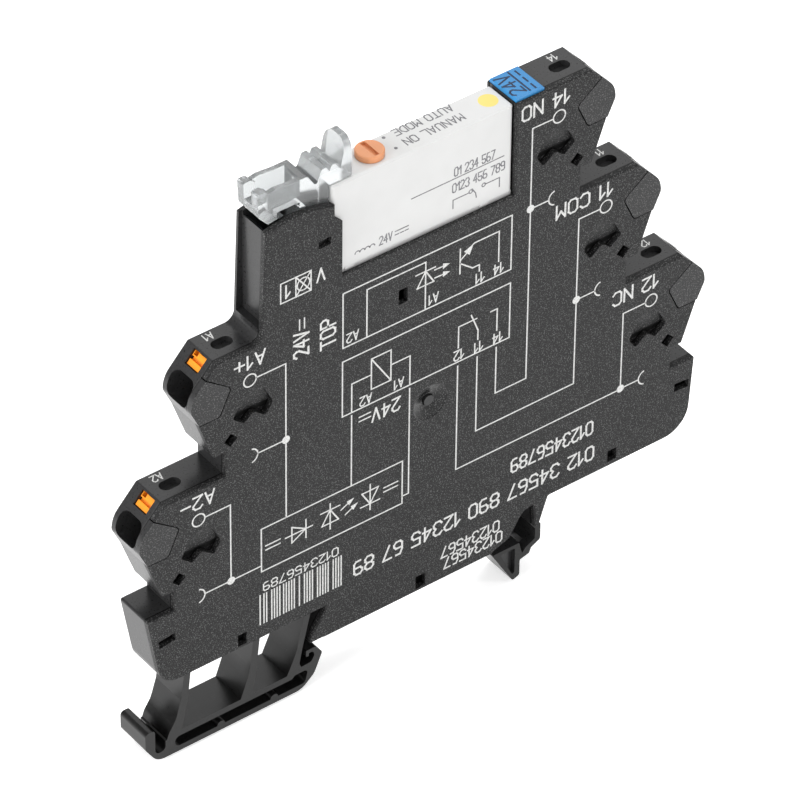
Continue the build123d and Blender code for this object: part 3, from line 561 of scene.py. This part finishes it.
# %% The printed circuit
LINE = 0.21
COVER_Y = -3.1
wires = [
    [(-25.5, 48.7), (-21.07, 48.7), (-21.07, 23.6)],
    [(-33.5, 30.1), (-29.66, 30.1), (-29.66, 17.5), (-25.0, 17.5)],
    [(-21.07, 36.4), (-25.4, 36.4)],
    [(-29.66, 17.5), (-33.7, 17.5)],
    [(20.1, 67.8), (16.9, 67.8), (16.9, 27.5), (11.95, 27.5), (11.95, 35.05)],
    [(28.2, 49.75), (24.8, 49.75), (24.8, 22.7), (8.9, 22.7), (8.9, 35.0)],
    [(36.3, 30.5), (32.7, 30.5), (32.7, 17.8), (5.8, 17.8), (5.8, 35.0)],
    [(16.9, 55.1), (19.8, 55.1)],
    [(24.8, 36.6), (27.8, 36.6)],
    [(32.7, 17.9), (35.7, 17.9)],
]
# The coil, its leads and the changeover contact in the lower box
wires += [
    [(-7.85, 37.97), (-4.79, 37.97), (-4.79, 42.9), (-7.85, 42.9), (-7.85, 37.97)],
    [(-7.8, 42.8), (-4.84, 38.06)],
    [(-7.85, 40.35), (-10.9, 40.35), (-10.9, 35.75)], [(-10.9, 35.2), (-10.9, 23.6)],
    [(-4.79, 40.45), (-1.79, 40.45), (-1.79, 35.8)],
    [(-1.8, 35.1), (-1.8, 17.7), (-2.8, 17.7)],
    [(5.85, 38.0), (5.85, 41.38), (8.7, 41.38)],
    [(7.83, 42.31), (8.95, 39.38), (8.95, 37.88)],
    [(10.94, 41.39), (11.97, 41.39), (11.97, 37.88)],
]
# The light-emitting diode and the transistor in the upper box
wires += [
    [(-8.61, 46.88), (-8.61, 54.4), (0.48, 54.4), (0.48, 46.88)],
    [(5.88, 49.98), (5.88, 53.91)], [(6.9, 52.8), (5.88, 52.05)],
    [(7.9, 53.75), (8.2, 53.86), (12.0, 53.86), (12.0, 49.05)],
    [(5.88, 51.6), (7.86, 49.97), (8.95, 49.97), (8.95, 48.96)],
]
boxes = [(-12.3, 46.8, 14.0, 55.5), (-12.35, 35.7, 14.0, 44.6), (-24.95, 16.5, -2.8, 23.6)]
for x0, z0, x1, z1 in boxes:
    wires.append([(x0, z0), (x1, z0), (x1, z1), (x0, z1), (x0, z0)])


def diode_symbol(x, z, turn, leads=2.1):
    """A triangle, its bar and its leads; turn is where the tip points, in degrees."""
    shape = [[(-1.1, -1.3), (1.1, 0), (-1.1, 1.3), (-1.1, -1.3)], [(1.1, -1.5), (1.1, 1.5)]]
    if leads:
        shape.append([(-leads, 0), (leads, 0)])
    swing = Matrix.Rotation(math.radians(turn), 2)
    runs = []
    for run in shape:
        turned = [swing @ Vector(point) for point in run]
        runs.append([(x + p.x, z + p.y) for p in turned])
    return runs


wires += diode_symbol(-19.1, 20.15, 0) + diode_symbol(-14.2, 20.2, 90)
wires += diode_symbol(-7.9, 20.2, -90) + diode_symbol(0.48, 51.85, 90, leads=0)
for x0, x1, z in ((-24.26, -22.06, 20.5), (-24.26, -22.06, 19.8), (-5.73, -3.56, 20.6),
                  (-5.73, -3.56, 19.9), (-9.7, -7.95, 34.3), (-9.7, -9.25, 33.6),
                  (-9.05, -8.6, 33.6), (-8.4, -7.95, 33.6)):
    wires.append([(x0, z), (x1, z)])
heads = [filled_mesh([(7.95, 53.8), (6.48, 53.2), (7.35, 52.3)])]
for x0, z0, x1, z1 in ((-12.47, 20.37, -10.43, 21.41), (-11.81, 19.24, -9.82, 20.34),
                       (1.9, 52.5, 4.28, 52.43), (1.95, 51.2, 4.3, 51.15)):
    shaft, head = arrow(x0, z0, x1, z1)
    wires.append(shaft)
    heads.append(head)
rings = [(-26.5, 48.7), (-34.5, 30.1), (21.1, 67.8), (29.17, 49.75), (37.3, 30.5)]
curves = [(circle(x, z, 0.95), True) for x, z in rings]
curves += [(circle(x, z, 1.1, -80, 80), False) for x, z in ((-26.5, 36.4), (-34.8, 17.5))]
curves += [(circle(x, z, 1.1, 100, 260), False)
           for x, z in ((20.9, 55.1), (28.9, 36.6), (36.8, 17.9))]
cover_marks = heads + [ink_mesh(wires, curves, LINE, light_ink)]
for x, z in ((-21.07, 36.4), (-29.66, 17.5), (16.9, 55.1), (24.8, 36.6), (32.7, 17.9)):
    cover_marks.append(dot_mesh(x, z, 0.6))
# Each word with its capitals' height, its middle's x and z, its turn and its squeeze
words = [
    ("A1+", 2.0, -26.5, 51.6, 180, 1.05), ("A2-", 2.0, -34.6, 33.0, 180, 1.0),
    ("14 NO", 2.1, 18.9, 70.6, 180, 0.95), ("11 COM", 2.1, 25.6, 52.4, 180, 1.0),
    ("12 NC", 2.1, 34.6, 33.5, 180, 0.95), ("A2", 1.4, -10.8, 48.0, 180, 0.8),
    ("A1", 1.4, 1.8, 48.0, 180, 0.8), ("11", 1.5, 9.1, 47.85, 180, 0.9),
    ("14", 1.5, 12.0, 47.9, 180, 0.8), ("A2", 1.4, -8.7, 36.7, 180, 0.8),
    ("A1", 1.4, -3.5, 36.8, 180, 0.8), ("12", 1.5, 5.95, 36.8, 180, 0.8),
    ("11", 1.5, 9.1, 36.6, 180, 0.9), ("14", 1.5, 12.1, 36.6, 180, 0.8),
    ("24V", 2.0, -5.5, 33.55, 180, 0.86), ("24V", 2.2, -18.7, 50.6, 90, 0.7),
    ("TOP", 2.2, -14.6, 50.4, 90, 0.82), ("V", 1.9, -15.7, 60.2, 180, 0.9),
    ("1", 1.9, -20.7, 60.0, 180, 0.9), ("012 34567 890 12345 67 89", 2.2, 9.1, 9.2, 180, 0.87),
    ("0123456789", 2.1, 21.6, 13.6, 180, 0.74), ("0123456789", 1.3, -18.8, 13.75, 180, 1.05),
    ("01234567", 1.7, 8.4, 4.55, 180, 0.82), ("01234567", 1.7, 8.9, 2.5, 180, 0.82),
]
for text, height, x, z, turn, squeeze in words:
    cover_marks.append(word_mesh(text, height, x, z, turn, light_ink, squeeze))
cover_marks.append(ink_mesh(
    [[(-21.8, 58.5), (-17.2, 58.5), (-17.2, 61.6), (-21.8, 61.6), (-21.8, 58.5)],
     [(-19.5, 58.5), (-19.5, 61.6)], [(-19.5, 58.5), (-17.2, 61.6)],
     [(-19.5, 61.6), (-17.2, 58.5)],
     [(-18.95, 53.0), (-18.95, 54.6)], [(-18.2, 53.0), (-18.2, 53.4)],
     [(-18.2, 53.6), (-18.2, 54.0)], [(-18.2, 54.2), (-18.2, 54.6)]],
    [(circle(-18.35, 60.05, 0.95), True)], 0.2, light_ink))
# A field of bars whose steps are drawn by chance
BARS_START, BARS_END, BARS_BOTTOM, BARS_TOP = -25.2, -12.3, 7.7, 12.6
chance = random.Random(7)
bars, bar_x = [], BARS_START
while bar_x < BARS_END:
    bars.append([(bar_x, BARS_BOTTOM), (bar_x, BARS_TOP)])
    bar_x += chance.choice((0.42, 0.42, 0.60, 0.80))
cover_marks.append(ink_mesh(bars, [], LINE, light_ink))
printed("cover_print", cover_marks, light_ink, on_front(COVER_Y), "housing")

# %% [markdown]
# ## Marks on the relay, the tag and the terminals
# The relay says on its top which way its knob is set, and on its side how it is wired.
# The tag and the terminals carry short marks.

# %% Relay, tag and terminal marks
RELAY_Y = -2.5
RELAY_TOP = 72.4
TAG_TOP = 73.2
TURN = 0.38
coil_turns = [(circle(-9.68 + i * 2 * TURN, 60.25, TURN, 180, 0), False) for i in range(4)]
relay_side = [
    ink_mesh([[(5.05, 60.36), (5.05, 61.65), (7.5, 61.65)],
              [(8.0, 62.05), (8.55, 61.2), (8.7, 60.44)],
              [(12.3, 60.45), (12.3, 61.87), (10.1, 61.87)],
              [(-1.4, 64.9), (12.9, 65.0)], [(-3.87, 60.95), (-1.87, 60.95)],
              [(-3.87, 60.4), (-3.37, 60.4)], [(-3.12, 60.4), (-2.62, 60.4)],
              [(-2.37, 60.4), (-1.87, 60.4)]],
             coil_turns + [(circle(7.8, 61.75, 0.26), True),
                           (circle(9.82, 61.87, 0.26), True)], 0.17, grey_ink),
    word_mesh("24V", 1.25, -5.35, 60.55, 0, grey_ink, 0.62),
    word_mesh("0123 456 789", 1.3, 9.0, 63.5, 0, grey_ink, 0.64),
    word_mesh("01 234 567", 1.3, 8.35, 65.95, 0, grey_ink, 0.61),
]
printed("relay_side_print", relay_side, grey_ink, on_front(RELAY_Y), "housing")
relay_top = [
    word_mesh("AUTO MODE", 1.25, 3.3, 1.6, 180, grey_ink, 0.93),
    word_mesh("MANUAL ON", 1.25, 3.3, -0.65, 180, grey_ink, 0.93),
    dot_mesh(-2.67, 1.65, 0.24), dot_mesh(-2.7, -0.9, 0.24),
]
printed("relay_top_print", relay_top, grey_ink, on_top(RELAY_TOP), "housing")
printed("relay_dot", [dot_mesh(12.2, 0.0, 1.3)], dot_paint, on_top(RELAY_TOP),
        "housing")
tag_marks = [
    word_mesh("24V", 1.9, 15.6, 0.0, 90, tag_ink),
    ink_mesh([[(17.0, -2.2), (17.0, 2.2)], [(17.9, -2.2), (17.9, -1.3)],
              [(17.9, -0.6), (17.9, 0.3)], [(17.9, 1.0), (17.9, 1.9)]], [], 0.28, tag_ink),
]
printed("tag_print", tag_marks, tag_ink, on_top(TAG_TOP), "housing")
for name, x, z in (("A1", -29.1, 53.65), ("A2", -37.2, 35.0), ("14", 23.7, 72.7),
                   ("11", 31.9, 54.05), ("12", 40.0, 35.4)):
    mark = word_mesh(name, 1.15, x, 1.9, 180, light_ink)
    printed(f"top_mark_{name.lower()}", [mark], light_ink, on_top(z), "housing")

# %% [markdown]
# ## Floor, light and camera
# The photograph is a studio shot on white. A pale floor, a bright even surrounding and
# five soft lamps give the same open light: the dark plastic keeps its grain, and its
# narrow sides and tops stand off from the printed face.

# %% Floor and lamps
FLOOR_REACH = 3.0
FLOOR_GAP = 0.4 * MM
MIDDLE = Vector((0, 0, 0.03))
corners = [(-1, -1), (1, -1), (1, 1), (-1, 1)]
floor_mesh = bpy.data.meshes.new("floor")
floor_mesh.from_pydata([(x * FLOOR_REACH, y * FLOOR_REACH, cad_low.z - FLOOR_GAP)
                        for x, y in corners], [], [(0, 1, 2, 3)])
floor = bpy.data.objects.new("floor", floor_mesh)
bpy.context.scene.collection.objects.link(floor)
floor_paint, start, place, shader = finish_named("floor_pale")
shader.inputs["Base Color"].default_value = (0.93, 0.93, 0.93, 1)
shader.inputs["Roughness"].default_value = 0.9
shader.inputs["Specular IOR Level"].default_value = 0.0
shader.inputs["Emission Color"].default_value = (1, 1, 1, 1)
shader.inputs["Emission Strength"].default_value = 0.45
floor_mesh.materials.append(floor_paint)

world = bpy.data.worlds.new("studio")
world.use_nodes = True
background = world.node_tree.nodes["Background"]
background.inputs["Color"].default_value = (1, 1, 1, 1)
background.inputs["Strength"].default_value = 0.42
bpy.context.scene.world = world


def lamp(name, place_mm, size_mm, power):
    """A soft square lamp that looks at the part's middle."""
    data = bpy.data.lights.new(name, "AREA")
    data.size = size_mm * MM
    data.energy = power
    thing = bpy.data.objects.new(name, data)
    bpy.context.scene.collection.objects.link(thing)
    thing.location = Vector(place_mm) * MM
    aim = MIDDLE - thing.location
    thing.rotation_euler = aim.to_track_quat("-Z", "Y").to_euler()


lamp("key", (-300, -800, 700), 500, 2.3)
lamp("top", (150, 100, 1000), 600, 4.4)
lamp("left", (-900, 50, 350), 650, 9.0)
lamp("edge", (470, -640, 610), 200, 1.5)
lamp("rim", (560, 730, 780), 450, 1.2)
print("lamps", len(bpy.data.lights))

# %% [markdown]
# ## Camera
# The place and angles were found by matching straight edges of the part with the
# photograph, so the render lies over it.

# %% Camera
CAMERA_PLACE = (-382.487, -498.260, 559.132)
FOCAL_LENGTH = 291.834
AZIMUTH = -0.653516
ELEVATION = 0.699866
ROLL = 0.011547
camera_data = bpy.data.cameras.new("photo_camera")
camera_data.sensor_width = 36
camera_data.lens = FOCAL_LENGTH
camera_data.clip_start = 0.05
camera_data.clip_end = 10
camera = bpy.data.objects.new("photo_camera", camera_data)
bpy.context.scene.collection.objects.link(camera)
back = Vector((math.sin(AZIMUTH) * math.cos(ELEVATION),
               -math.cos(AZIMUTH) * math.cos(ELEVATION), math.sin(ELEVATION)))
level = Vector((math.cos(AZIMUTH), math.sin(AZIMUTH), 0))
upright = back.cross(level)
right = math.cos(ROLL) * level + math.sin(ROLL) * upright
up = -math.sin(ROLL) * level + math.cos(ROLL) * upright
turned = Matrix((right, up, back)).transposed().to_4x4()
camera.matrix_world = Matrix.Translation(Vector(CAMERA_PLACE) * MM) @ turned
bpy.context.scene.camera = camera
bpy.context.scene.view_settings.view_transform = "Standard"
print("camera away from the origin by", round(camera.matrix_world.translation.length, 3), "m")
